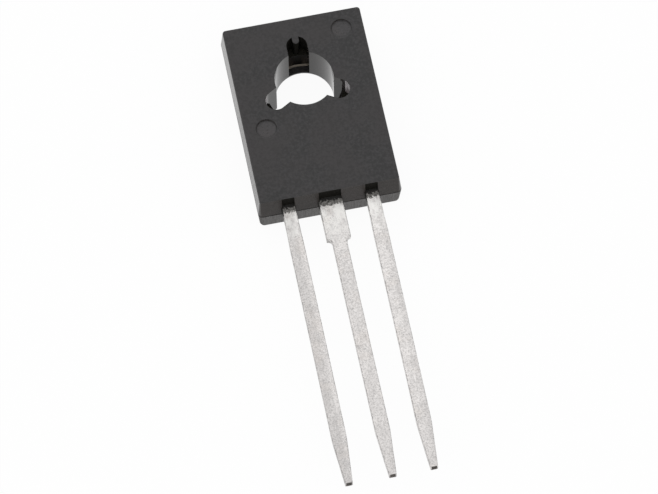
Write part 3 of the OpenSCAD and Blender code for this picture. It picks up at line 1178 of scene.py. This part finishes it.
def pad_hole_cutter():
    """Cutter for the pad's hole, waisted where the burr stands at the foot of its wall."""
    metal = metal_sizes()
    segments = 96
    top = mm(metal.pad_thickness)
    radius = mm(metal.pad_hole_radius)
    waist = radius - mm(metal.burr_reach)
    web, burr_top = mm(body_sizes().notch_floor), mm(body_sizes().notch_floor + metal.burr_height)
    bm = bmesh.new()
    loft(bm, [at_height(circle((0, 0), r, segments), z)
              for r, z in ((radius, -OVER), (radius, web * 0.3), (waist, web * 0.6),
                           (waist, web * 1.4), (radius, burr_top), (radius, top + OVER))])
    return scratch_object(bm, "cutter")


def dull_hole_edge(bm):
    """Rounds the front edge of the pad's hole."""
    metal = metal_sizes()
    top, radius = mm(metal.pad_thickness), mm(metal.pad_hole_radius)
    rim = [edge for edge in bm.edges if all(abs(vert.co.z - top) < 10 * WELD
                                            and abs(vert.co.xy.length - radius) < 100 * WELD
                                            for vert in edge.verts)]
    soften(bm, rim, mm(metal.pressed_edge), 3)


def make_collector_frame():
    metal = metal_sizes()
    pad = pad_block()
    combine(pad, [middle_lead()], "UNION")
    combine(pad, [pad_hole_cutter()], "DIFFERENCE")
    bm = as_bmesh(pad)
    bmesh.ops.recalc_face_normals(bm, faces=bm.faces)
    cut_tip(bm, mm(PAD_LOW.y))
    dull_hole_edge(bm)
    top, radius = mm(metal.pad_thickness), mm(metal.pad_hole_radius)
    reach = mm(metal.burr_reach) + NEAR
    for face in bm.faces:
        height = face.calc_center_median().z
        on_wall = all(abs(vert.co.xy.length - radius) < reach for vert in face.verts)
        if on_wall and abs(height - top / 2) < top / 2 - HAIR:
            face.material_index = HOLE_WALL
        elif face.normal.z > SQUARE_ON and abs(height - top) < NEAR:
            # The pad's top, seen deep in the notches, is painted dark as shade
            face.material_index = LEDGE_SHADE
    burr_top = body_sizes().notch_floor + metal.burr_height
    finished_piece(bm, "collector_pad_and_lead", (
        tin_finish("tin_collector"),
        copper_finish(),
        # Painted shade on the pad's top in the notches
        recess_shade_finish("pad_ledge_painted_shade", lightness=2.2),
        burnished_finish(burr_top),
    ), "tinned_frame", "collector_frame")


# ---------------------------------------------------------------- stage


def seen_rays(tree, by_eye=1.0, by_gloss=1.0):
    """Share for rays of the camera and through glass, another for gloss, and 0 for the rest."""
    path = tree.nodes.new("ShaderNodeLightPath")
    total = None
    for name, share in (("Is Camera Ray", by_eye), ("Is Transmission Ray", by_eye),
                        ("Is Glossy Ray", by_gloss)):
        part = tree.nodes.new("ShaderNodeMath")
        part.operation = "MULTIPLY"
        part.inputs[1].default_value = share
        tree.links.new(path.outputs[name], part.inputs[0])
        if total is not None:
            either = tree.nodes.new("ShaderNodeMath")
            either.operation = "MAXIMUM"
            tree.links.new(total, either.inputs[0])
            tree.links.new(part.outputs["Value"], either.inputs[1])
            part = either
        total = part.outputs["Value"]
    return total


def plain_shader(tree, kind, colour, strength=None):
    """Output of a shader of one colour."""
    made = tree.nodes.new(kind)
    made.inputs["Color"].default_value = tuple(colour) + (1,)
    if strength is not None:
        made.inputs["Strength"].default_value = strength
    return made.outputs[0]


def mix_into(tree, out, share, unseen, seen):
    """Shows one shader to the rays of a share, and the other to the rest."""
    mixed = tree.nodes.new("ShaderNodeMixShader")
    for number, source in enumerate((share, unseen, seen)):
        tree.links.new(source, mixed.inputs[number])
    tree.links.new(mixed.outputs["Shader"], tree.nodes.new(out).inputs["Surface"])


def make_floor():
    """Pale floor just under the part, which shows as white but keeps the part's shadow."""
    settings = stage_settings()
    material = bpy.data.materials.new("pale_floor")
    material.use_nodes = True
    tree = material.node_tree
    tree.nodes.clear()
    mix_into(tree, "ShaderNodeOutputMaterial",
             seen_rays(tree, settings.floor_glow, settings.floor_gloss),
             plain_shader(tree, "ShaderNodeBsdfDiffuse", settings.floor_colour),
             plain_shader(tree, "ShaderNodeEmission", WHITE, 1.0))
    bm = bmesh.new()
    grid = bmesh.ops.create_grid(bm, x_segments=4, y_segments=4, size=settings.floor_size / 2)
    bmesh.ops.translate(bm, vec=(0, 0, -settings.floor_gap), verts=grid["verts"])
    mesh = bpy.data.meshes.new("floor")
    bm.to_mesh(mesh)
    bm.free()
    mesh.materials.append(material)
    floor = bpy.data.objects.new("floor", mesh)
    bpy.context.scene.collection.objects.link(floor)


def make_sky():
    """Plain white all round, at its own level where it lights the part."""
    world = bpy.data.worlds.new("studio")
    bpy.context.scene.world = world
    world.use_nodes = True
    tree = world.node_tree
    tree.nodes.clear()
    mix_into(tree, "ShaderNodeOutputWorld", seen_rays(tree),
             plain_shader(tree, "ShaderNodeBackground", WHITE, stage_settings().sky_level),
             plain_shader(tree, "ShaderNodeBackground", WHITE, 1.0))


def make_lamp():
    """Wide soft lamp over the front face, towards the emitter side of the hole end."""
    settings = stage_settings()
    data = bpy.data.lights.new("wide_lamp", "AREA")
    data.shape = "DISK"
    data.size = settings.lamp_size
    data.energy = settings.lamp_power
    lamp = bpy.data.objects.new("wide_lamp", data)
    towards = Vector(settings.lamp_direction).normalized()
    lamp.location = Vector(settings.camera_target) + towards * settings.lamp_distance
    lamp.rotation_mode = "QUATERNION"
    lamp.rotation_quaternion = (-towards).to_track_quat("-Z", "Y")
    bpy.context.scene.collection.objects.link(lamp)


def make_camera():
    settings = stage_settings()
    turn, tilt, roll = settings.camera_turn, settings.camera_tilt, settings.camera_roll
    back = Vector((-math.sin(turn) * math.cos(tilt), -math.sin(tilt),
                   math.cos(turn) * math.cos(tilt)))
    level = Vector((0, 1, 0)).cross(back).normalized()
    upright = back.cross(level)
    right = math.cos(roll) * level + math.sin(roll) * upright
    up = math.cos(roll) * upright - math.sin(roll) * level
    place = Vector(settings.camera_target) + back * settings.camera_distance
    data = bpy.data.cameras.new("camera")
    data.sensor_width = 36
    data.lens = settings.camera_lens
    data.clip_start = 0.01
    data.clip_end = 10
    camera = bpy.data.objects.new("camera", data)
    camera.matrix_world = Matrix(((right.x, up.x, back.x, place.x), (right.y, up.y, back.y, place.y),
                                  (right.z, up.z, back.z, place.z), (0, 0, 0, 1)))
    bpy.context.scene.collection.objects.link(camera)
    bpy.context.scene.camera = camera


# ---------------------------------------------------------------- operators


class TRANSISTOR_OT_moulded_body(Operator):
    """Mould the black body with its hole, notches, slots and drafted sides"""

    bl_idname = "transistor.moulded_body"
    bl_label = "Moulded body"

    def execute(self, context):
        make_moulded_body()
        return {"FINISHED"}


class TRANSISTOR_OT_outer_leads(Operator):
    """Stamp the emitter and base leads and dip them in tin"""

    bl_idname = "transistor.outer_leads"
    bl_label = "Outer leads"

    def execute(self, context):
        for lead in OUTER_LEADS:
            make_outer_lead(*lead)
        return {"FINISHED"}


class TRANSISTOR_OT_collector_frame(Operator):
    """Stamp the collector pad with the middle lead"""

    bl_idname = "transistor.collector_frame"
    bl_label = "Collector pad and lead"

    def execute(self, context):
        make_collector_frame()
        return {"FINISHED"}


class TRANSISTOR_OT_chip_and_wires(Operator):
    """Finish the chip, its solder and its bond wires, inside the body"""

    bl_idname = "transistor.chip_and_wires"
    bl_label = "Chip, solder and bond wires"

    def execute(self, context):
        look = finishes()
        silicon = hidden_finish("silicon", look.silicon, 0.2 * MM, metallic=0.0, roughness=0.15)
        solder = hidden_finish("solder", look.solder, 0.1 * MM, metallic=1.0, roughness=0.4)
        wire = hidden_finish("bond_wire", look.wire, 0.05 * MM, metallic=1.0, roughness=0.25)
        for node, material in (("die", silicon), ("die_solder", solder),
                               ("emitter_wire", wire), ("base_wire", wire)):
            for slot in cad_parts[node].material_slots:
                slot.material = material
        return {"FINISHED"}


class TRANSISTOR_OT_stage(Operator):
    """Set up the floor, the light and the camera"""

    bl_idname = "transistor.stage"
    bl_label = "Stage"

    def execute(self, context):
        context.scene.view_settings.view_transform = "Standard"
        make_floor()
        make_sky()
        make_camera()
        make_lamp()
        return {"FINISHED"}


class TRANSISTOR_PT_parts(Panel):
    """Lists the sizes, the colours and the pieces"""

    bl_label = "Power transistor"
    bl_idname = "TRANSISTOR_PT_parts"
    bl_space_type = "VIEW_3D"
    bl_region_type = "UI"
    bl_category = "Transistor"

    def draw(self, context):
        layout = self.layout
        for title, group in (("Body", body_sizes()), ("Metal", metal_sizes()),
                             ("Finish", finishes()), ("Stage", stage_settings())):
            box = layout.box()
            box.label(text=title)
            for name in group.__annotations__:
                box.prop(group, name)
        for operator in OPERATORS:
            layout.operator(operator.bl_idname)


GROUPS = (("transistor_body", TRANSISTOR_PG_body), ("transistor_metal", TRANSISTOR_PG_metal),
          ("transistor_finish", TRANSISTOR_PG_finish), ("transistor_stage", TRANSISTOR_PG_stage))
OPERATORS = (TRANSISTOR_OT_moulded_body, TRANSISTOR_OT_outer_leads,
             TRANSISTOR_OT_collector_frame, TRANSISTOR_OT_chip_and_wires, TRANSISTOR_OT_stage)


def register():
    for name, group in GROUPS:
        bpy.utils.register_class(group)
        setattr(bpy.types.Scene, name, PointerProperty(type=group))
    for operator in OPERATORS:
        bpy.utils.register_class(operator)
    bpy.utils.register_class(TRANSISTOR_PT_parts)


def unregister():
    bpy.utils.unregister_class(TRANSISTOR_PT_parts)
    for operator in reversed(OPERATORS):
        bpy.utils.unregister_class(operator)
    for name, group in reversed(GROUPS):
        delattr(bpy.types.Scene, name)
        bpy.utils.unregister_class(group)


def main():
    register()
    bpy.ops.transistor.moulded_body()
    bpy.ops.transistor.outer_leads()
    bpy.ops.transistor.collector_frame()
    bpy.ops.transistor.chip_and_wires()
    bpy.ops.transistor.stage()


if __name__ == "__main__":
    main()
